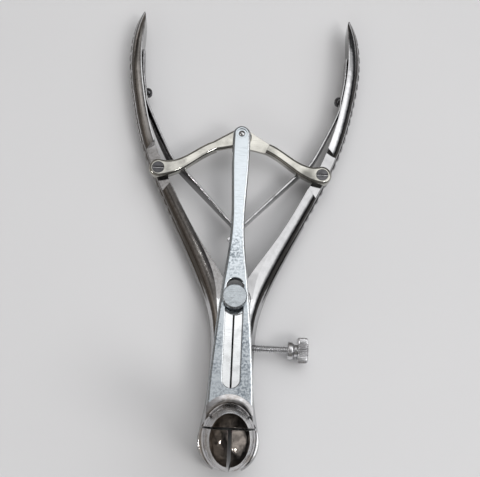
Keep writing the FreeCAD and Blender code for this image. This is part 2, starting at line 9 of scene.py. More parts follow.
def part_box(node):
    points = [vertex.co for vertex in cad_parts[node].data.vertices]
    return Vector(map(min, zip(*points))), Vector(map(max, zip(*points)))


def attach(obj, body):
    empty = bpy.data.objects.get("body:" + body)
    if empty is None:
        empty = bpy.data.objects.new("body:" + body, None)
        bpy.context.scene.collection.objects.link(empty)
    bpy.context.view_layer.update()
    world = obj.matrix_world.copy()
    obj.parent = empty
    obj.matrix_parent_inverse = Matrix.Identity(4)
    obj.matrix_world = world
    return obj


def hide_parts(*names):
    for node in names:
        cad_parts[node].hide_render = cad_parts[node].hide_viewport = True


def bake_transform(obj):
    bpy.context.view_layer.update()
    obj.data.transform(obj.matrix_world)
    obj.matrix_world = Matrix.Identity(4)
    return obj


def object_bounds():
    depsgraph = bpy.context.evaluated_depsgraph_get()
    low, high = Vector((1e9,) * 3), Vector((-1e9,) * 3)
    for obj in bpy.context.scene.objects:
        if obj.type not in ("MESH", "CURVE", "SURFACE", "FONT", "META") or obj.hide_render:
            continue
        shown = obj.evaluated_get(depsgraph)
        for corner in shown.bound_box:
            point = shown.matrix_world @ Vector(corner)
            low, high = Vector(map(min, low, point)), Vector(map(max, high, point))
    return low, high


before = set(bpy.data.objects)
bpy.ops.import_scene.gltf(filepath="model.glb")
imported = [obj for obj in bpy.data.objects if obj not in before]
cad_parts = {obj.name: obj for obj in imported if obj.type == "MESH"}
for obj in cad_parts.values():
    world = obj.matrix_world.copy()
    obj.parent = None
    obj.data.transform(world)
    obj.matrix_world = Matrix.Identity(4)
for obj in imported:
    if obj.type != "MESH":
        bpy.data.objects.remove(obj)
CAD_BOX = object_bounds()

bl_info = {
    "name": "Three-blade speculum",
    "version": (1, 0, 0),
    "blender": (4, 5, 0),
    "location": "View3D > Sidebar > Speculum",
    "description": "Polished steel finish, springs, screw thread and studio for the packed speculum",
    "category": "Object",
}

MM = 0.001

# Camera that sees the object as the photograph does, in millimetres and degrees
CAMERA_PLACE = (-2.5, -76.0, 344.4)
CAMERA_TILT, CAMERA_PAN, CAMERA_ROLL = 17.0, -0.6, 2.7
FOCAL_PIXELS = 850.0
IMAGE_WIDTH = 480
SENSOR_WIDTH = 36.0

# Lights, in metres: a wide one overhead for the floor, a small one low on the right, a window behind the
# photographer, and two small ones that show only as glints in the metal
OVERHEAD_PLACE = (0.22, 0.55, 1.15)
OVERHEAD_SIZE, OVERHEAD_POWER = 1.6, 7.4
KEY_PLACE = (0.62, -0.40, 0.90)
KEY_POWER, KEY_COLOUR = 2.8, (1.0, 0.98, 0.96)
WINDOW_PLACE = (-0.20, -1.00, 0.75)
WINDOW_WIDTH, WINDOW_HEIGHT = 0.9, 0.5
WINDOW_POWER, WINDOW_COLOUR = 2.3, (0.97, 0.99, 1.0)
GLINT_PLACES = ((0.42, -0.42, 1.00), (-0.62, -0.10, 0.75))
GLINT_SIZE, GLINT_POWER = 0.07, 0.7
WHITE = (1.0, 1.0, 1.0)

# Tabletop: half its width and its distance below the part in metres, then its unevenness and its sheen
FLOOR_HALF, FLOOR_GAP = 2.0, 0.0002
FLOOR_NOISE_SCALE, FLOOR_NOISE_LEVELS = 9.0, (0.3, 0.7)
FLOOR_DARKEST = 0.985
FLOOR_ROUGHNESS, FLOOR_SHINE = 0.55, 0.25

# Shade of the tabletop in narrow places under the metal: reach in metres, openness range, deepest tone
FLOOR_SHADE_REACH = 0.03
FLOOR_SHADE_OPEN = (0.03, 0.16)
FLOOR_SHADE_DEEP = 0.06

# Room seen in the metal: wall tones from the horizon up, tints from left to right, and loose clutter
WALL_TONES = (
    (0.0, (0.12, 0.11, 0.10)), (0.20, (0.050, 0.045, 0.040)), (0.42, (0.12, 0.115, 0.11)),
    (0.68, (0.22, 0.215, 0.21)), (0.90, (0.11, 0.11, 0.115)), (1.0, (0.05, 0.05, 0.055)),
)
SIDE_TINTS = (
    (0.0, (1.35, 1.30, 1.25)), (0.42, (0.80, 0.785, 0.77)),
    (0.6, (0.50, 0.50, 0.50)), (1.0, (0.32, 0.36, 0.42)),
)
SIDE_TINT_LEVEL = 1.8
CLUTTER_SCALE, CLUTTER_DETAIL = 2.6, 3.0
CLUTTER_LEVELS, CLUTTER_RANGE = (0.35, 0.65), (0.25, 1.75)

# Bright patches of the room, each a direction, tones towards its middle and a level: beyond the handles,
# on the right, and nearly overhead
BRIGHT_PATCHES = (
    ((0.04, 0.42, 0.90),
     ((0.0, 0.0), (0.92, 0.0), (0.955, 0.10), (0.978, 0.32), (0.994, 1.0), (1.0, 1.0)), 1.25),
    ((0.66, 0.02, 0.75),
     ((0.0, 0.0), (0.80, 0.0), (0.88, 0.3), (0.95, 1.0), (1.0, 1.0)), 1.7),
    ((0.12, 0.16, 0.98),
     ((0.0, 0.0), (0.955, 0.0), (0.975, 0.5), (0.99, 1.0), (1.0, 1.0)), 0.75),
)
PATCH_UNEVEN = 0.016

# Wear that every steel shares: clouds, the larger patches they gather in, three runs of fine scratches,
# and the depth of its relief in metres
CLOUD_LEVELS = (0.42, 0.62)
PATCH_SCALE, PATCH_LEVELS = 90.0, (0.35, 0.65)
SCRATCH_TURNS, SCRATCH_SQUEEZE = (12.0, 74.0, 131.0), 26.0
SCRATCH_SCALE, SCRATCH_LEVELS = 160.0, (0.60, 0.72)
COARSE_DETAIL = 2.0
WEAR_DEPTH = 0.00005

# Long ripple that hand polishing leaves, with its height in metres
RIPPLE_HEIGHT = 0.0006
RIPPLE_LEVELS, RIPPLE_DETAIL = (0.2, 0.8), 1.5

# Rays that look for an edge to round
EDGE_SAMPLES = 4

# Painted shade on steel by how upright a face is, steep to level, with one undarkened line as a painted
# highlight
DULL_AND_STEEP_SHADE_COLOUR = (0.05, 0.047, 0.045)
STEEP_SHADE_BANDS = ((0.0, 0.72), (0.30, 0.72), (0.36, 0.0), (0.52, 0.0), (0.58, 1.0), (0.70, 1.0), (0.80, 0.0))

# Painted dark reflection on the arms between bar and link, by place along the part in metres
LEFT_ARM_DULL_AND_REFLECTION_COLOUR = (0.085, 0.075, 0.066)
DARK_REFLECTION_SPAN = (-0.004, 0.090)
DARK_REFLECTION_TONES = ((0.0, 0.0), (0.08, 0.8), (0.30, 1.0), (0.72, 1.0), (0.80, 0.0), (1.0, 0.0))
LEFT_DARK_REFLECTION, RIGHT_DARK_REFLECTION = 0.80, 0.42
DARK_REFLECTION_LEAST = 0.86

# Blades: brown mottling, painted shade inside, under and in the slit, painted dark reflection on the round
# tip; lengths in metres
BROWN_MOTTLE_COLOUR = (0.26, 0.21, 0.17)
HOLLOW_SHADE_COLOUR = (0.03, 0.028, 0.027)
HOLLOW_FACING, UNDER_FACING = -0.2, -0.5
SLIT_REACH, SLIT_FACING = 0.0012, 0.8
TIP_REFLECTION_COLOUR = (0.17, 0.15, 0.135)
TIP_FACING, TIP_HEIGHT = 0.6, 0.006

# Painted highlight, and how the bar's edges and the arms' flats that carry it face
HIGHLIGHT_COLOUR = (0.88, 0.90, 0.91)
HIGHLIGHT_SIDE, HIGHLIGHT_UP = 0.2, 0.15
FLAT_UP = 0.99995

# Floor of a screw's slot: how it faces, and its least depth under the head in metres
SLOT_FLOOR_UP, SLOT_DEPTH = 0.9, 0.0003

# Mottling of the bar, heavy on the foot and light on the stem, with the change between them in metres
FOOT_COLOUR = (0.25, 0.285, 0.32)
FOOT_MOTTLE, STEM_MOTTLE = 1.25, 0.10
FOOT_END, STEM_START = 0.012, 0.036

# Middle line of the right leaf spring, from its clamped end to the crossing behind the bar, in millimetres
LEAF_PATH = [
    (44.84, 111.91), (44.29, 102.33), (42.74, 92.59), (41.04, 84.28),
    (31.00, 62.74), (24.80, 56.25), (15.50, 46.52), (6.20, 36.79),
]
LEAF_STEPS = 10
LEAF_ANGLE = 46.3
LEAF_CROSS_Y = 30.3
LEAF_ROUND_SHARE, LEAF_CORNER_STEPS = 0.5, 4
LEAF_SHARP_ANGLE = 40.0
TONGUE_PAST, TONGUE_WIDTH = 5.5, 2.4
FORK_PAST, FORK_GAP = 2.4, 0.5

# Reach of the boxes that shape the springs' ends, past the part on every side, in metres
CUT_REACH = 0.1

# Lean of the springs between two places along the part, in millimetres and degrees
LEAN_SPAN = (94.0, 35.0)
RIGHT_LEAN, LEFT_LEAN = 4.0, 19.0

# Thumb screw's spindle, in millimetres
THREAD_RADIUS, THREAD_LENGTH = 1.45, 20.9
THREAD_CREST = 0.14
THREAD_SAMPLES = 10
POINT_SHARE = 0.8
NECK_RADIUS, NECK_END = 1.2, 21.9
COLLAR_WIDTH, COLLAR_ROUND, COLLAR_STEPS = 2.4, 0.7, 5
SPINDLE_SIDES = 40

# Thumb screw's knob, in millimetres
BORE_GAP = 0.05
BOSS_RADIUS = 2.6
KNOB_WIDTH, KNOB_CHAMFER = 4.2, 0.5
KNOB_ROUND, KNOB_STEPS = 0.35, 4
KNURLS, KNURL_DEPTH, KNURL_SIDES = 36, 0.42, 8
KNURL_FROM = 0.94
KNURL_STEEPNESS, KNURL_CREST = 1.35, 0.2
SCREW_SHARP_ANGLE = 38.0

# Largest share of a side that a rounded corner takes, and how near points are joined, in metres
ROUND_SHARE = 0.45
WELD_REACH = 1e-7


class SpeculumSizes(bpy.types.PropertyGroup):
    """Sizes of the details that a maker might change."""

    edge_round: FloatProperty(
        name="Edge rounding", description="Radius that polishing leaves on every edge",
        default=0.00018, min=0.0, unit="LENGTH")
    leaf_thickness: FloatProperty(
        name="Leaf thickness", description="Thickness of the leaf spring strip",
        default=0.0009, min=0.0001, unit="LENGTH")
    thread_pitch: FloatProperty(
        name="Thread pitch", description="Advance of the thumb screw in one turn",
        default=0.0008, min=0.0001, unit="LENGTH")
    thread_depth: FloatProperty(
        name="Thread depth", description="Depth of the thumb screw's thread",
        default=0.00032, min=0.0, unit="LENGTH")
    key_size: FloatProperty(
        name="Key light width", description="Width of the soft light that casts the shadows",
        default=0.34, min=0.05, unit="LENGTH")


class SpeculumColours(bpy.types.PropertyGroup):
    """Colours of the metal finishes and of the stage."""

    forged: FloatVectorProperty(
        name="Forged arms", description="Colour of the mirror-polished arms and blades",
        default=(0.60, 0.60, 0.61), subtype="COLOR", min=0.0, max=1.0)
    bar: FloatVectorProperty(
        name="Slide bar", description="Colour of the scuffed slide bar and disc",
        default=(0.52, 0.56, 0.59), subtype="COLOR", min=0.0, max=1.0)
    links: FloatVectorProperty(
        name="Links", description="Colour of the polished links",
        default=(0.50, 0.49, 0.45), subtype="COLOR", min=0.0, max=1.0)
    screws: FloatVectorProperty(
        name="Screws", description="Colour of the darker screw heads",
        default=(0.11, 0.11, 0.115), subtype="COLOR", min=0.0, max=1.0)
    floor: FloatVectorProperty(
        name="Floor", description="Colour of the pale surface under the instrument",
        default=(0.66, 0.66, 0.67), subtype="COLOR", min=0.0, max=1.0)


# Shader node helpers

def new_socket(group, name, kind, default=None, output=False):
    """Socket on a node group's interface."""
    socket = group.interface.new_socket(
        name=name, in_out="OUTPUT" if output else "INPUT", socket_type=kind)
    if default is not None:
        socket.default_value = default


def math_node(nodes, links, operation, first, second):
    """Math node fed by sockets or plain numbers."""
    node = nodes.new("ShaderNodeMath")
    node.operation = operation
    for index, value in enumerate((first, second)):
        if isinstance(value, (int, float)):
            node.inputs[index].default_value = value
        else:
            links.new(value, node.inputs[index])
    return node.outputs[0]


def vector_node(nodes, links, operation, first, second):
    """Vector math node, whose second value is a socket or a plain vector, and the factor when scaling."""
    node = nodes.new("ShaderNodeVectorMath")
    node.operation = operation
    links.new(first, node.inputs[0])
    slot = node.inputs["Scale"] if operation == "SCALE" else node.inputs[1]
    if isinstance(second, Vector):
        slot.default_value = second
    else:
        links.new(second, slot)
    return node.outputs["Value"] if operation == "DOT_PRODUCT" else node.outputs["Vector"]


def mixed(nodes, links, kind, mask, first, second):
    """Blend of two sockets by a mask."""
    node = nodes.new("ShaderNodeMix")
    node.data_type = kind
    links.new(mask, node.inputs["Factor"])
    links.new(first, node.inputs["A"])
    links.new(second, node.inputs["B"])
    return node.outputs["Result"]


def spread(nodes, links, value, span, results=(0.0, 1.0), kind="LINEAR"):
    """Value spread from its own span over the results, and held at their ends."""
    node = nodes.new("ShaderNodeMapRange")
    node.interpolation_type = kind
    node.inputs["From Min"].default_value, node.inputs["From Max"].default_value = span
    node.inputs["To Min"].default_value, node.inputs["To Max"].default_value = results
    links.new(value, node.inputs["Value"])
    return node.outputs["Result"]


def noise_mask(nodes, links, vector, scale, levels, detail=4.0):
    """Noise squeezed between two levels, as a mask from 0 to 1."""
    noise = nodes.new("ShaderNodeTexNoise")
    noise.inputs["Detail"].default_value = detail
    links.new(vector, noise.inputs["Vector"])
    if isinstance(scale, (int, float)):
        noise.inputs["Scale"].default_value = scale
    else:
        links.new(scale, noise.inputs["Scale"])
    return spread(nodes, links, noise.outputs["Fac"], levels)


def tone_ramp(nodes, links, value, stops):
    """Value turned into tones by (position, tone) stops, each tone a number or a colour."""
    node = nodes.new("ShaderNodeValToRGB")
    node.color_ramp.interpolation = "EASE"
    while len(node.color_ramp.elements) < len(stops):
        node.color_ramp.elements.new(0.5)
    for element, (position, tone) in zip(node.color_ramp.elements, stops):
        element.position = position
        element.color = (*tone, 1.0) if isinstance(tone, tuple) else (tone, tone, tone, 1.0)
    links.new(value, node.inputs["Fac"])
    return node.outputs["Color"]


def one_axis(nodes, links, vector, axis):
    """One coordinate of a vector."""
    split = nodes.new("ShaderNodeSeparateXYZ")
    links.new(vector, split.inputs["Vector"])
    return split.outputs[axis]


def object_place(nodes):
    """Coordinates of the object itself."""
    return nodes.new("ShaderNodeTexCoord").outputs["Object"]


# Steel

def scratch_mask(nodes, links, place):
    """Fine scratches in a few directions."""
    scratches = 0.0
    for turn in SCRATCH_TURNS:
        mapping = nodes.new("ShaderNodeMapping")
        mapping.inputs["Rotation"].default_value = (0.0, 0.0, math.radians(turn))
        mapping.inputs["Scale"].default_value = (1.0, SCRATCH_SQUEEZE, 1.0)
        links.new(place, mapping.inputs["Vector"])
        lines = noise_mask(nodes, links, mapping.outputs["Vector"],
                           SCRATCH_SCALE, SCRATCH_LEVELS, COARSE_DETAIL)
        scratches = math_node(nodes, links, "MAXIMUM", scratches, lines)
    return scratches


def steep_shade_mask(nodes, links):
    """Mask of painted shade on the steep faces, with one undarkened line that stands as a painted highlight.
    """
    normal = nodes.new("ShaderNodeTexCoord").outputs["Normal"]
    upright = math_node(nodes, links, "ABSOLUTE", one_axis(nodes, links, normal, "Z"), 0.0)
    return tone_ramp(nodes, links, upright, STEEP_SHADE_BANDS)


def build_wear_and_shade_group():
    """Mottling and scratches of polished steel, with painted shade on steep faces and a painted dark
    reflection, over two colours and roughnesses.
    """
    group = bpy.data.node_groups.new("Handled steel and painted shade", "ShaderNodeTree")
    new_socket(group, "Clean Colour", "NodeSocketColor", (0.6, 0.6, 0.6, 1.0))
    new_socket(group, "Dull Colour", "NodeSocketColor", (0.4, 0.4, 0.4, 1.0))
    new_socket(group, "Clean Roughness", "NodeSocketFloat", 0.05)
    new_socket(group, "Dull Roughness", "NodeSocketFloat", 0.25)
    new_socket(group, "Mottle Scale", "NodeSocketFloat", 400.0)
    new_socket(group, "Mottle Amount", "NodeSocketFloat", 0.5)
    new_socket(group, "Scratch Amount", "NodeSocketFloat", 0.3)
    new_socket(group, "Steep Shade Amount", "NodeSocketFloat", 0.0)
    new_socket(group, "Dark Reflection Amount", "NodeSocketFloat", 0.0)
    new_socket(group, "Ripple Scale", "NodeSocketFloat", 120.0)
    new_socket(group, "Colour", "NodeSocketColor", output=True)
    new_socket(group, "Roughness", "NodeSocketFloat", output=True)
    new_socket(group, "Height", "NodeSocketFloat", output=True)
    new_socket(group, "Ripple", "NodeSocketFloat", output=True)
    nodes, links = group.nodes, group.links
    given = nodes.new("NodeGroupInput").outputs
    result = nodes.new("NodeGroupOutput").inputs
    place = object_place(nodes)
    clouds = noise_mask(nodes, links, place, given["Mottle Scale"], CLOUD_LEVELS)
    patches = noise_mask(nodes, links, place, PATCH_SCALE, PATCH_LEVELS, COARSE_DETAIL)
    mottle = math_node(nodes, links, "MULTIPLY", clouds, patches)
    # Clouds that break up the painted dark reflection
    grain = math_node(nodes, links, "MULTIPLY", clouds, 1.0 - DARK_REFLECTION_LEAST)
    grain = math_node(nodes, links, "ADD", grain, DARK_REFLECTION_LEAST)
    wear_and_shade = 0.0
    for mask, amount in ((mottle, "Mottle Amount"), (scratch_mask(nodes, links, place), "Scratch Amount"),
                         (steep_shade_mask(nodes, links), "Steep Shade Amount"), (grain, "Dark Reflection Amount")):
        share = math_node(nodes, links, "MULTIPLY", mask, given[amount])
        wear_and_shade = math_node(nodes, links, "MAXIMUM", wear_and_shade, share)
    ripple = noise_mask(nodes, links, place, given["Ripple Scale"], RIPPLE_LEVELS, RIPPLE_DETAIL)
    colour = mixed(nodes, links, "RGBA", wear_and_shade, given["Clean Colour"], given["Dull Colour"])
    rough = mixed(nodes, links, "FLOAT", wear_and_shade, given["Clean Roughness"], given["Dull Roughness"])
    links.new(colour, result["Colour"])
    links.new(rough, result["Roughness"])
    links.new(wear_and_shade, result["Height"])
    links.new(ripple, result["Ripple"])
    return group


def bump(nodes, links, height, strength, distance, normal):
    """Relief from a height, over the normal given."""
    node = nodes.new("ShaderNodeBump")
    node.inputs["Strength"].default_value = strength
    node.inputs["Distance"].default_value = distance
    links.new(height, node.inputs["Height"])
    links.new(normal, node.inputs["Normal"])
    return node.outputs["Normal"]


def steel(name, clean, dull, smooth, rough, mottle_scale, mottle, scratch, relief,
          steep_shade=0.0, ripple=0.12, waves=110.0, edge=1.0):
    """Polished steel with handled marks and the shared painted shade, softly rounded edges and a faint
    hand-polished ripple.
    """
    material = bpy.data.materials.new(name)
    material.use_nodes = True
    nodes, links = material.node_tree.nodes, material.node_tree.links
    shader = nodes["Principled BSDF"]
    shader.inputs["Metallic"].default_value = 1.0
    wear_and_shade = nodes.new("ShaderNodeGroup")
    wear_and_shade.name = "Wear and shade"
    wear_and_shade.node_tree = bpy.data.node_groups.get("Handled steel and painted shade") or build_wear_and_shade_group()
    for socket, value in (
            ("Clean Colour", (*clean, 1.0)), ("Dull Colour", (*dull, 1.0)),
            ("Clean Roughness", smooth), ("Dull Roughness", rough),
            ("Mottle Scale", mottle_scale), ("Mottle Amount", mottle), ("Scratch Amount", scratch),
            ("Steep Shade Amount", steep_shade), ("Ripple Scale", waves)):
        wear_and_shade.inputs[socket].default_value = value
    edges = nodes.new("ShaderNodeBevel")
    edges.samples = EDGE_SAMPLES
    edges.inputs["Radius"].default_value = bpy.context.scene.speculum_sizes.edge_round * edge
    swell = bump(nodes, links, wear_and_shade.outputs["Ripple"], ripple, RIPPLE_HEIGHT, edges.outputs["Normal"])
    normal = bump(nodes, links, wear_and_shade.outputs["Height"], relief, WEAR_DEPTH, swell)
    links.new(wear_and_shade.outputs["Colour"], shader.inputs["Base Color"])
    links.new(wear_and_shade.outputs["Roughness"], shader.inputs["Roughness"])
    links.new(normal, shader.inputs["Normal"])
    return material


def scaled(colour, share):
    """The colour made darker or lighter by a share."""
    return tuple(min(1.0, channel * share) for channel in colour)


def dress(material, *names):
    """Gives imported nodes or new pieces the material."""
    for name in names:
        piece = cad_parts.get(name) or bpy.data.objects[name]
        piece.data.materials.clear()
        piece.data.materials.append(material)
        for polygon in piece.data.polygons:
            polygon.material_index = 0


def dress_faces(piece, material, wanted):
    """Gives the faces that pass a test a second material."""
    piece.data.materials.append(material)
    index = len(piece.data.materials) - 1
    for polygon in piece.data.polygons:
        if wanted(polygon):
            polygon.material_index = index


# Mesh helpers

def new_piece(name, mesh_data):
    """Object from a finished bmesh."""
    mesh = bpy.data.meshes.new(name)
    bmesh.ops.recalc_face_normals(mesh_data, faces=mesh_data.faces)
    mesh_data.to_mesh(mesh)
    mesh_data.free()
    piece = bpy.data.objects.new(name, mesh)
    bpy.context.scene.collection.objects.link(piece)
    return piece


def weld(piece):
    """Joins points that lie on each other."""
    shape = bmesh.new()
    shape.from_mesh(piece.data)
    bmesh.ops.remove_doubles(shape, verts=shape.verts, dist=WELD_REACH)
    bmesh.ops.recalc_face_normals(shape, faces=shape.faces)
    shape.to_mesh(piece.data)
    shape.free()


def smooth_by_angle(piece, degrees):
    """Smooth shading with sharp edges above the angle."""
    limit = math.radians(degrees)
    mesh = piece.data
    shape = bmesh.new()
    shape.from_mesh(mesh)
    for face in shape.faces:
        face.smooth = True
    for edge in shape.edges:
        edge.smooth = edge.calc_face_angle(math.pi) < limit
    shape.to_mesh(mesh)
    shape.free()


def tube_mesh(rings, caps=True):
    """Closed tube through rings of points."""
    shape = bmesh.new()
    loops = [[shape.verts.new(point) for point in ring] for ring in rings]
    count = len(loops[0])
    for first, second in zip(loops, loops[1:]):
        for index in range(count):
            after = (index + 1) % count
            shape.faces.new((first[index], first[after], second[after], second[index]))
    if caps:
        shape.faces.new(loops[0][::-1])
        shape.faces.new(loops[-1])
    return shape


def smooth_line(points, steps):
    """Smooth line through the points, as evenly shared short steps between each pair."""
    full = [points[0] * 2 - points[1]] + list(points) + [points[-1] * 2 - points[-2]]
    line = []
    for index in range(1, len(full) - 2):
        p0, p1, p2, p3 = full[index - 1:index + 3]
        for step in range(steps):
            t = step / steps
            line.append(0.5 * ((2 * p1) + (p2 - p0) * t + (2 * p0 - 5 * p1 + 4 * p2 - p3) * t * t
                               + (3 * p1 - p0 - 3 * p2 + p3) * t ** 3))
    line.append(points[-1])
    return line


def cut_with_box(piece, low, high):
    """Takes a box away from a piece."""
    shape = bmesh.new()
    bmesh.ops.create_cube(shape, size=1.0)
    for vert in shape.verts:
        for axis in range(3):
            vert.co[axis] = high[axis] if vert.co[axis] > 0 else low[axis]
    cutter = new_piece("cutter", shape)
    step = piece.modifiers.new("cut", "BOOLEAN")
    step.operation = "DIFFERENCE"
    step.solver = "EXACT"
    step.object = cutter
    bpy.context.view_layer.update()
    result = bpy.data.meshes.new_from_object(piece.evaluated_get(bpy.context.evaluated_depsgraph_get()))
    piece.modifiers.clear()
    piece.data = result
    bpy.data.objects.remove(cutter)


# Leaf springs

def leaf_section(half, half_width):
    """Strip's section as (across, up) points with softened corners."""
    corner = half * LEAF_ROUND_SHARE
    section = []
    for across, up, start in ((1, 1, 0), (-1, 1, 90), (-1, -1, 180), (1, -1, 270)):
        for step in range(LEAF_CORNER_STEPS):
            angle = math.radians(start + 90 * step / (LEAF_CORNER_STEPS - 1))
            section.append((across * (half - corner) + corner * math.cos(angle),
                            up * (half_width - corner) + corner * math.sin(angle)))
    return section


def leaf_rings(side, past, lean, thickness):
    """Rings of the strip's section along its path, leaning most halfway between handle and bar."""
    slope = math.radians(LEAF_ANGLE)
    points = [Vector((x, y, 0.0)) for x, y in LEAF_PATH]
    crossing = Vector((0.0, LEAF_CROSS_Y, 0.0))
    points += [crossing, crossing - Vector((math.cos(slope), math.sin(slope), 0.0)) * past]
    line = smooth_line(points, LEAF_STEPS)
    low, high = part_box("right_spring")
    middle = (high.z + low.z) / 2
    section = leaf_section(thickness / 2, (high.z - low.z) / 2)
    rings = []
    for index, point in enumerate(line):
        before = line[max(0, index - 1)]
        after = line[min(len(line) - 1, index + 1)]
        along = (after - before).normalized()
        across = Vector((-along.y, along.x, 0.0))
        share = (LEAN_SPAN[0] - point.y) / (LEAN_SPAN[0] - LEAN_SPAN[1])
        twist = math.tan(math.radians(lean)) * math.sin(math.pi * min(max(share, 0.0), 1.0))
        ring = []
        for offset, height in section:
            spot = point * MM + across * (offset - height * twist)
            ring.append(Vector((side * spot.x, spot.y, middle + height)))
        rings.append(ring)
    return rings


class SPECULUM_OT_add_springs(bpy.types.Operator):
    """Add the two leaf springs that flex between the handles and the bar"""

    bl_idname = "speculum.add_springs"
    bl_label = "Add leaf springs"

    def execute(self, context):
        sizes = context.scene.speculum_sizes
        colours = context.scene.speculum_colours
        # Two copies of one spring steel with painted shade on their steep faces, heavy on the left leaf and
        # light on the right
        metals = [steel(material_name, scaled(colours.forged, 0.85), DULL_AND_STEEP_SHADE_COLOUR, smooth=0.12, rough=0.30,
                        mottle_scale=500.0, mottle=0.6, scratch=0.4, relief=0.15, steep_shade=steep_shade)
                  for material_name, steep_shade in (("Spring steel, light painted shade", 0.45), ("Spring steel, heavy painted shade", 0.95))]
        low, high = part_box("right_spring")
        middle = (low.z + high.z) / 2
        for name, side, past, lean, metal in (
                ("right", 1, TONGUE_PAST, RIGHT_LEAN, metals[0]),
                ("left", -1, FORK_PAST, LEFT_LEAN, metals[1])):
            rings = leaf_rings(side, past, lean, sizes.leaf_thickness)
            piece = new_piece(name + "_leaf", tube_mesh(rings))
            if name == "right":
                # A tongue, with the strip cut away under and over it
                top = (LEAF_CROSS_Y + TONGUE_PAST / 2) * MM
                half = TONGUE_WIDTH / 2 * MM
                cut_with_box(piece, (-CUT_REACH, -CUT_REACH, 0.0), (CUT_REACH, top, middle - half))
                cut_with_box(piece, (-CUT_REACH, -CUT_REACH, middle + half), (CUT_REACH, top, CUT_REACH))
            else:
                # A fork, open in the middle for the tongue
                top = (LEAF_CROSS_Y + FORK_PAST) * MM
                half = (TONGUE_WIDTH / 2 + FORK_GAP) * MM
                cut_with_box(piece, (-CUT_REACH, -CUT_REACH, middle - half), (CUT_REACH, top, middle + half))
            smooth_by_angle(piece, LEAF_SHARP_ANGLE)
            dress(metal, piece.name)
            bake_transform(piece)
            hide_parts(name + "_spring")
        return {"FINISHED"}


# Thumb screw

def turned_rings(axis_y, axis_z, stations, count, radius_at):
    """Rings about an axis along X, one for each (x, radius) station."""
    rings = []
    for x, radius in stations:
        ring = []
        for step in range(count):
            angle = 2 * math.pi * step / count
            reach = radius_at(x, radius, angle)
            ring.append(Vector((x, axis_y + reach * math.cos(angle), axis_z + reach * math.sin(angle))))
        rings.append(ring)
    return rings


def softened(corners, radius, steps):
    """Profile of (x, radius) corners with each inner corner rounded off."""
    points = [Vector(corner) for corner in corners]
    line = [points[0]]
    for before, corner, after in zip(points, points[1:], points[2:]):
        into, out = before - corner, after - corner
        cut = min(radius, into.length * ROUND_SHARE, out.length * ROUND_SHARE)
        start, end = corner + into.normalized() * cut, corner + out.normalized() * cut
        for step in range(steps + 1):
            t = step / steps
            line.append(start * (1 - t) ** 2 + corner * (2 * t * (1 - t)) + end * t * t)
    return [tuple(point) for point in line + [points[-1]]]


def spindle_rings(low, high, axis, pitch, depth):
    """Rings of the threaded spindle with its neck and collar, from the low to the high corner of its box."""
    crest, neck_radius = THREAD_RADIUS * MM, NECK_RADIUS * MM
    start, end = low.x, low.x + THREAD_LENGTH * MM

    def threaded(x, radius, angle):
        """Radius with the thread cut in, which fades out at both ends."""
        if not start < x < end:
            return radius
        turn = (x / pitch - angle / (2 * math.pi)) % 1.0
        flank = min(1.0, max(0.0, (abs(turn - 0.5) * 2 - THREAD_CREST) / (1 - 2 * THREAD_CREST)))
        fade = min(1.0, (x - start) / pitch, (end - x) / pitch)
        return radius - depth * flank * fade

    count = int((end - start) / pitch * THREAD_SAMPLES)
    stations = [(start, crest * POINT_SHARE)]
    stations += [(start + (end - start) * step / count, crest) for step in range(count + 1)]
    neck, collar = low.x + NECK_END * MM, low.x + (NECK_END + COLLAR_WIDTH) * MM
    shoulder = (high.z - low.z) / 2
    stations += softened([
        (end, crest), (end + depth, neck_radius), (neck, neck_radius), (neck, shoulder),
        (collar, shoulder), (collar, crest), (high.x, crest)], COLLAR_ROUND * MM, COLLAR_STEPS)
    return turned_rings(*axis, stations, SPINDLE_SIDES, threaded)


def knob_rings(low, high, axis):
    """Rings of the knurled knob and its boss, from the bore round to the bore again."""
    rim = (high.z - low.z) / 2
    face = high.x - KNOB_WIDTH * MM
    bore = THREAD_RADIUS * MM + BORE_GAP * MM
    boss = BOSS_RADIUS * MM
    chamfer = KNOB_CHAMFER * MM

    def knurled(x, radius, angle):
        """Radius with the knurls pressed into the rim."""
        if radius < rim * KNURL_FROM:
            return radius
        tooth = abs((angle * KNURLS / (2 * math.pi)) % 1.0 - 0.5) * 2
        return radius - KNURL_DEPTH * MM * min(1.0, max(0.0, KNURL_STEEPNESS * tooth - KNURL_CREST))

    profile = softened([
        (low.x, bore), (low.x, boss), (face, boss), (face, rim - chamfer), (face + chamfer, rim),
        (high.x - chamfer, rim), (high.x, rim - chamfer), (high.x, bore)], KNOB_ROUND * MM, KNOB_STEPS)
    rings = turned_rings(*axis, profile, KNURLS * KNURL_SIDES, knurled)
    return rings + [rings[0]]


class SPECULUM_OT_add_thumb_screw(bpy.types.Operator):
    """Add the thumb screw: threaded spindle with its collar, and straight-knurled knob"""

    bl_idname = "speculum.add_thumb_screw"
    bl_label = "Add thumb screw"

    def execute(self, context):
        sizes = context.scene.speculum_sizes
        colours = context.scene.speculum_colours
        metal = steel("Thumb screw steel", scaled(colours.forged, 1.25), scaled(colours.forged, 0.60),
                      smooth=0.26, rough=0.40, mottle_scale=600.0, mottle=0.6, scratch=0.3, relief=0.2,
                      ripple=0.0, edge=0.2)
        low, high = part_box("thumb_screw_spindle")
        axis = (low.y + high.y) / 2, (low.z + high.z) / 2
        rings = spindle_rings(low, high, axis, sizes.thread_pitch, sizes.thread_depth)
        spindle = new_piece("threaded_spindle", tube_mesh(rings))
        smooth_by_angle(spindle, SCREW_SHARP_ANGLE)
        dress(metal, spindle.name)
        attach(spindle, "thumb_screw")
        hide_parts("thumb_screw_spindle")

        low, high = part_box("thumb_screw_knob")
        knob = new_piece("knurled_knob", tube_mesh(knob_rings(low, high, axis), caps=False))
        weld(knob)
        smooth_by_angle(knob, SCREW_SHARP_ANGLE)
        dress(metal, knob.name)
        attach(knob, "thumb_knob")
        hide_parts("thumb_screw_knob")
        return {"FINISHED"}
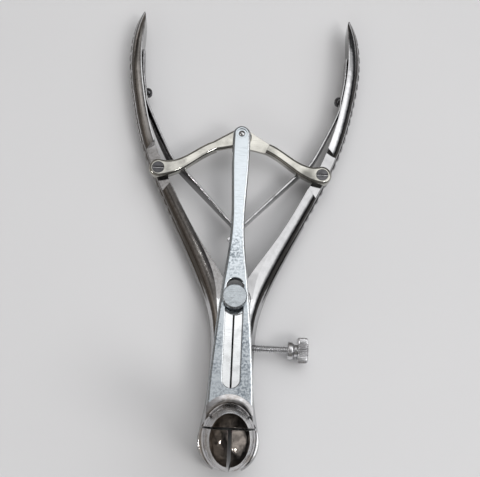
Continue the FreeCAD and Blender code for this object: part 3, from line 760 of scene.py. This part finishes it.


# Finishes of the imported pieces, with their painted shade and painted highlights

def finish_blade(blade, hollow_shade, tip_reflection):
    """Gives the blade's rounded end a painted dark reflection, and its inner wall, slit faces and undersides
    painted shade.
    """
    blade.data.materials.append(hollow_shade)
    blade.data.materials.append(tip_reflection)
    low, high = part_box("right_blade")
    axis_y = (low.y + high.y) / 2
    for polygon in blade.data.polygons:
        outward = Vector((polygon.center.x, polygon.center.y - axis_y, 0.0))
        inner = polygon.normal.dot(outward.normalized()) < HOLLOW_FACING
        in_slit = abs(polygon.center.x) < SLIT_REACH and abs(polygon.normal.x) > SLIT_FACING
        # Painted shade inside, in the slit and underneath; painted dark reflection on the rounded end
        if in_slit or inner or polygon.normal.z < UNDER_FACING:
            polygon.material_index = 1
        elif polygon.normal.z > TIP_FACING and polygon.center.z > high.z - TIP_HEIGHT:
            polygon.material_index = 2


def paint_shank_reflection(material, share):
    """Lets a painted dark reflection cover an arm between the bar and the link."""
    nodes, links = material.node_tree.nodes, material.node_tree.links
    along = spread(nodes, links, one_axis(nodes, links, object_place(nodes), "Y"), DARK_REFLECTION_SPAN)
    tones = tone_ramp(nodes, links, along, DARK_REFLECTION_TONES)
    amount = math_node(nodes, links, "MULTIPLY", tones, share)
    links.new(amount, nodes["Wear and shade"].inputs["Dark Reflection Amount"])


class SPECULUM_OT_polish_forgings(bpy.types.Operator):
    """Give the forged arms and the three blades their mirror polish, with painted shade, painted highlights
    and painted dark reflections
    """

    bl_idname = "speculum.polish_forgings"
    bl_label = "Polish arms and blades"

    def execute(self, context):
        colours = context.scene.speculum_colours
        painted_highlight = steel("Painted highlight lands", HIGHLIGHT_COLOUR, scaled(HIGHLIGHT_COLOUR, 0.6), smooth=0.07, rough=0.20,
                       mottle_scale=350.0, mottle=0.5, scratch=0.3, relief=0.05, ripple=0.1)
        # Painted shade on both arms' steep faces, and a painted dark reflection on the shanks, heavier on the
        # left arm
        for arm, name, dull, grain, reflection_share in (
                ("right_arm", "Forged steel", DULL_AND_STEEP_SHADE_COLOUR, 350.0, RIGHT_DARK_REFLECTION),
                ("left_arm", "Forged steel, darker painted reflection", LEFT_ARM_DULL_AND_REFLECTION_COLOUR, 900.0, LEFT_DARK_REFLECTION)):
            metal = steel(name, colours.forged, dull, smooth=0.06, rough=0.16, mottle_scale=grain,
                          mottle=0.22, scratch=0.15, relief=0.05, steep_shade=1.0)
            paint_shank_reflection(metal, reflection_share)
            dress(metal, arm)
            # Painted highlight on the flat under the bar's slot
            dress_faces(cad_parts[arm], painted_highlight,
                        lambda face: face.normal.z > FLAT_UP and face.center.y < 0.0)
        blades = steel("Blade steel", colours.forged, BROWN_MOTTLE_COLOUR, smooth=0.06, rough=0.28,
                       mottle_scale=420.0, mottle=0.75, scratch=0.35, relief=0.18)
        hollow_shade = steel("Hollow painted shade", HOLLOW_SHADE_COLOUR, scaled(HOLLOW_SHADE_COLOUR, 0.5), smooth=0.35, rough=0.6,
                       mottle_scale=420.0, mottle=0.7, scratch=0.2, relief=0.1, ripple=0.0)
        tip_reflection = steel("Tip painted reflection", TIP_REFLECTION_COLOUR, scaled(TIP_REFLECTION_COLOUR, 0.3), smooth=0.07, rough=0.24,
                    mottle_scale=520.0, mottle=0.95, scratch=0.4, relief=0.2, ripple=0.4, waves=260.0)
        for name in ("right_blade", "left_blade", "centre_blade"):
            dress(blades, name)
            finish_blade(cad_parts[name], hollow_shade, tip_reflection)
        return {"FINISHED"}


def dull_foot(material):
    """Leaves the bar's stem clean and lets the mottling cover its broad foot."""
    nodes, links = material.node_tree.nodes, material.node_tree.links
    amount = spread(nodes, links, one_axis(nodes, links, object_place(nodes), "Y"),
                    (FOOT_END, STEM_START), (FOOT_MOTTLE, STEM_MOTTLE), "SMOOTHSTEP")
    links.new(amount, nodes["Wear and shade"].inputs["Mottle Amount"])


class SPECULUM_OT_polish_bar_and_links(bpy.types.Operator):
    """Give the slide bar, the disc head and the links their finishes, with a painted highlight on the bar's
    edges towards the light
    """

    bl_idname = "speculum.polish_bar_and_links"
    bl_label = "Polish bar and links"

    def execute(self, context):
        colours = context.scene.speculum_colours
        bar = steel("Bar steel", colours.bar, FOOT_COLOUR, smooth=0.14, rough=0.34,
                    mottle_scale=1150.0, mottle=0.8, scratch=0.25, relief=0.10, ripple=0.04)
        dull_foot(bar)
        painted_highlight = steel("Painted highlight steel", HIGHLIGHT_COLOUR, scaled(HIGHLIGHT_COLOUR, 0.7), smooth=0.10, rough=0.24,
                       mottle_scale=900.0, mottle=0.3, scratch=0.3, relief=0.1, ripple=0.0)
        disc = steel("Disc steel", scaled(colours.bar, 0.95), scaled(colours.bar, 0.6),
                     smooth=0.24, rough=0.42, mottle_scale=700.0, mottle=0.85, scratch=0.6, relief=0.3)
        links = steel("Link steel", colours.links, scaled(colours.links, 0.35), smooth=0.08, rough=0.18,
                      mottle_scale=110.0, mottle=1.0, scratch=0.3, relief=0.1, ripple=0.55, waves=60.0)
        dress(bar, "slide_bar")
        # Painted highlight on the rounded edges on the light's side
        dress_faces(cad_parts["slide_bar"], painted_highlight,
                    lambda face: face.normal.x > HIGHLIGHT_SIDE and face.normal.z > HIGHLIGHT_UP)
        dress(disc, "pivot_screw", "pivot_nut")
        dress(links, "right_link", "left_link")
        return {"FINISHED"}


def brighten_slot(screw, metal):
    """Gives the floor of a screw's slot the clean metal that the screwdriver leaves."""
    floor = max(vert.co.z for vert in screw.data.vertices) - SLOT_DEPTH
    dress_faces(screw, metal, lambda face: face.normal.z > SLOT_FLOOR_UP and face.center.z < floor)


class SPECULUM_OT_finish_fasteners(bpy.types.Operator):
    """Give the screws and the rivet their darker steel"""

    bl_idname = "speculum.finish_fasteners"
    bl_label = "Finish screws and rivet"

    def execute(self, context):
        colours = context.scene.speculum_colours
        dark = steel("Screw steel", colours.screws, scaled(colours.screws, 0.4), smooth=0.22, rough=0.40,
                     mottle_scale=700.0, mottle=0.6, scratch=0.5, relief=0.2, ripple=0.0)
        pale = steel("Rivet steel", scaled(colours.forged, 0.95), scaled(colours.forged, 0.6),
                     smooth=0.12, rough=0.3, mottle_scale=700.0, mottle=0.5, scratch=0.4, relief=0.2)
        dress(dark, "right_link_screw", "left_link_screw", "right_spring_screw", "left_spring_screw")
        dress(pale, "link_rivet", "rivet_washer")
        for name in ("right_link_screw", "left_link_screw"):
            brighten_slot(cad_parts[name], pale)
        return {"FINISHED"}


# Stage

def area_light(name, place, width, height, power, colour, in_mirrors=False, on_floor=True):
    """Rectangular soft light aimed at the part, seen in mirrors or lighting the floor only where wanted."""
    data = bpy.data.lights.new(name, "AREA")
    data.shape = "RECTANGLE"
    data.size = width
    data.size_y = height
    data.energy = power
    data.color = colour
    lamp = bpy.data.objects.new(name, data)
    lamp.location = place
    lamp.rotation_euler = (-Vector(place)).to_track_quat("-Z", "Y").to_euler()
    lamp.visible_glossy = in_mirrors
    lamp.visible_diffuse = on_floor
    bpy.context.scene.collection.objects.link(lamp)


def bright_patch(nodes, links, place, clutter, side, tones):
    """Bright area of the room round one direction, with a slightly uneven edge."""
    toward = vector_node(nodes, links, "DOT_PRODUCT", place, Vector(side).normalized())
    uneven = math_node(nodes, links, "MULTIPLY", clutter, PATCH_UNEVEN)
    uneven = math_node(nodes, links, "SUBTRACT", toward, uneven)
    uneven = math_node(nodes, links, "ADD", uneven, PATCH_UNEVEN / 2)
    return tone_ramp(nodes, links, uneven, tones)


def room_world():
    """Plain dim room with three bright areas: beyond the handles, on the right and nearly overhead."""
    world = bpy.data.worlds.new("Room")
    world.use_nodes = True
    nodes, links = world.node_tree.nodes, world.node_tree.links
    place = nodes.new("ShaderNodeTexCoord").outputs["Generated"]
    walls = tone_ramp(nodes, links, one_axis(nodes, links, place, "Z"), WALL_TONES)
    sideways = spread(nodes, links, one_axis(nodes, links, place, "X"), (-1.0, 1.0))
    tinted = vector_node(nodes, links, "MULTIPLY", walls, tone_ramp(nodes, links, sideways, SIDE_TINTS))
    noise = nodes.new("ShaderNodeTexNoise")
    noise.inputs["Scale"].default_value = CLUTTER_SCALE
    noise.inputs["Detail"].default_value = CLUTTER_DETAIL
    links.new(place, noise.inputs["Vector"])
    clutter = noise.outputs["Fac"]
    shades = spread(nodes, links, clutter, CLUTTER_LEVELS, CLUTTER_RANGE)
    level = math_node(nodes, links, "MULTIPLY", shades, SIDE_TINT_LEVEL)
    room = vector_node(nodes, links, "SCALE", tinted, level)
    glow = 0.0
    for side, tones, strength in BRIGHT_PATCHES:
        patch = bright_patch(nodes, links, place, clutter, side, tones)
        patch = math_node(nodes, links, "MULTIPLY", patch, strength)
        glow = math_node(nodes, links, "ADD", glow, patch)
    links.new(vector_node(nodes, links, "ADD", room, glow), nodes["Background"].inputs["Color"])
    bpy.context.scene.world = world


def floor_material(colour):
    """Smooth pale tabletop with the faintest unevenness, darker only in the narrowest places."""
    material = bpy.data.materials.new("Pale tabletop")
    material.use_nodes = True
    nodes, links = material.node_tree.nodes, material.node_tree.links
    shader = nodes["Principled BSDF"]
    mix = nodes.new("ShaderNodeMix")
    mix.data_type = "RGBA"
    mix.inputs["A"].default_value = (*scaled(colour, FLOOR_DARKEST), 1.0)
    mix.inputs["B"].default_value = (*colour, 1.0)
    tone = noise_mask(nodes, links, object_place(nodes), FLOOR_NOISE_SCALE, FLOOR_NOISE_LEVELS, COARSE_DETAIL)
    links.new(tone, mix.inputs["Factor"])
    shade = nodes.new("ShaderNodeAmbientOcclusion")
    shade.inputs["Distance"].default_value = FLOOR_SHADE_REACH
    deep = spread(nodes, links, shade.outputs["AO"], FLOOR_SHADE_OPEN, (FLOOR_SHADE_DEEP, 1.0))
    tinted = vector_node(nodes, links, "SCALE", mix.outputs["Result"], deep)
    links.new(tinted, shader.inputs["Base Color"])
    shader.inputs["Roughness"].default_value = FLOOR_ROUGHNESS
    shader.inputs["Specular IOR Level"].default_value = FLOOR_SHINE
    return material


def photo_camera(scene):
    """Camera that stands and looks as the photographer's did."""
    data = bpy.data.cameras.new("Camera")
    data.sensor_width = SENSOR_WIDTH
    data.lens = SENSOR_WIDTH * FOCAL_PIXELS / IMAGE_WIDTH
    data.dof.use_dof = False
    camera = bpy.data.objects.new("Camera", data)
    turn = (Matrix.Rotation(math.radians(CAMERA_TILT), 4, "X")
            @ Matrix.Rotation(math.radians(CAMERA_PAN), 4, "Y")
            @ Matrix.Rotation(math.radians(CAMERA_ROLL), 4, "Z"))
    camera.matrix_world = Matrix.Translation(Vector(CAMERA_PLACE) * MM) @ turn
    scene.collection.objects.link(camera)
    return camera


class SPECULUM_OT_set_stage(bpy.types.Operator):
    """Set the pale floor, the soft lights, the room and the camera"""

    bl_idname = "speculum.set_stage"
    bl_label = "Set the stage"

    def execute(self, context):
        scene = context.scene
        sizes = scene.speculum_sizes
        shape = bmesh.new()
        bmesh.ops.create_grid(shape, x_segments=1, y_segments=1, size=FLOOR_HALF)
        floor = new_piece("tabletop", shape)
        floor.location = (0.0, 0.0, CAD_BOX[0].z - FLOOR_GAP)
        dress(floor_material(scene.speculum_colours.floor), floor.name)
        area_light("overhead", OVERHEAD_PLACE, OVERHEAD_SIZE, OVERHEAD_SIZE, OVERHEAD_POWER, WHITE)
        area_light("key", KEY_PLACE, sizes.key_size, sizes.key_size, KEY_POWER, KEY_COLOUR)
        area_light("window", WINDOW_PLACE, WINDOW_WIDTH, WINDOW_HEIGHT, WINDOW_POWER, WINDOW_COLOUR)
        for place in GLINT_PLACES:
            area_light("glint", place, GLINT_SIZE, GLINT_SIZE, GLINT_POWER, WHITE,
                       in_mirrors=True, on_floor=False)
        room_world()
        scene.camera = photo_camera(scene)
        scene.view_settings.view_transform = "Standard"
        return {"FINISHED"}


class SPECULUM_PT_panel(bpy.types.Panel):
    """Buttons and values of the speculum"""

    bl_label = "Speculum"
    bl_idname = "SPECULUM_PT_panel"
    bl_space_type = "VIEW_3D"
    bl_region_type = "UI"
    bl_category = "Speculum"

    def draw(self, context):
        for step in STEPS:
            self.layout.operator(step.bl_idname)
        for group in (context.scene.speculum_sizes, context.scene.speculum_colours):
            for name in group.__annotations__:
                self.layout.prop(group, name)


STEPS = (
    SPECULUM_OT_polish_forgings,
    SPECULUM_OT_polish_bar_and_links,
    SPECULUM_OT_finish_fasteners,
    SPECULUM_OT_add_springs,
    SPECULUM_OT_add_thumb_screw,
    SPECULUM_OT_set_stage,
)
CLASSES = (SpeculumSizes, SpeculumColours) + STEPS + (SPECULUM_PT_panel,)


def register():
    """Registers the classes and hangs the values on the scene."""
    for kind in CLASSES:
        bpy.utils.register_class(kind)
    bpy.types.Scene.speculum_sizes = PointerProperty(type=SpeculumSizes)
    bpy.types.Scene.speculum_colours = PointerProperty(type=SpeculumColours)


def unregister():
    """Takes back what register did."""
    del bpy.types.Scene.speculum_colours
    del bpy.types.Scene.speculum_sizes
    for kind in reversed(CLASSES):
        bpy.utils.unregister_class(kind)


def main():
    """Dresses the part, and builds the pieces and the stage."""
    register()
    bpy.ops.speculum.polish_forgings()
    bpy.ops.speculum.polish_bar_and_links()
    bpy.ops.speculum.finish_fasteners()
    bpy.ops.speculum.add_springs()
    bpy.ops.speculum.add_thumb_screw()
    bpy.ops.speculum.set_stage()


if __name__ == "__main__":
    main()
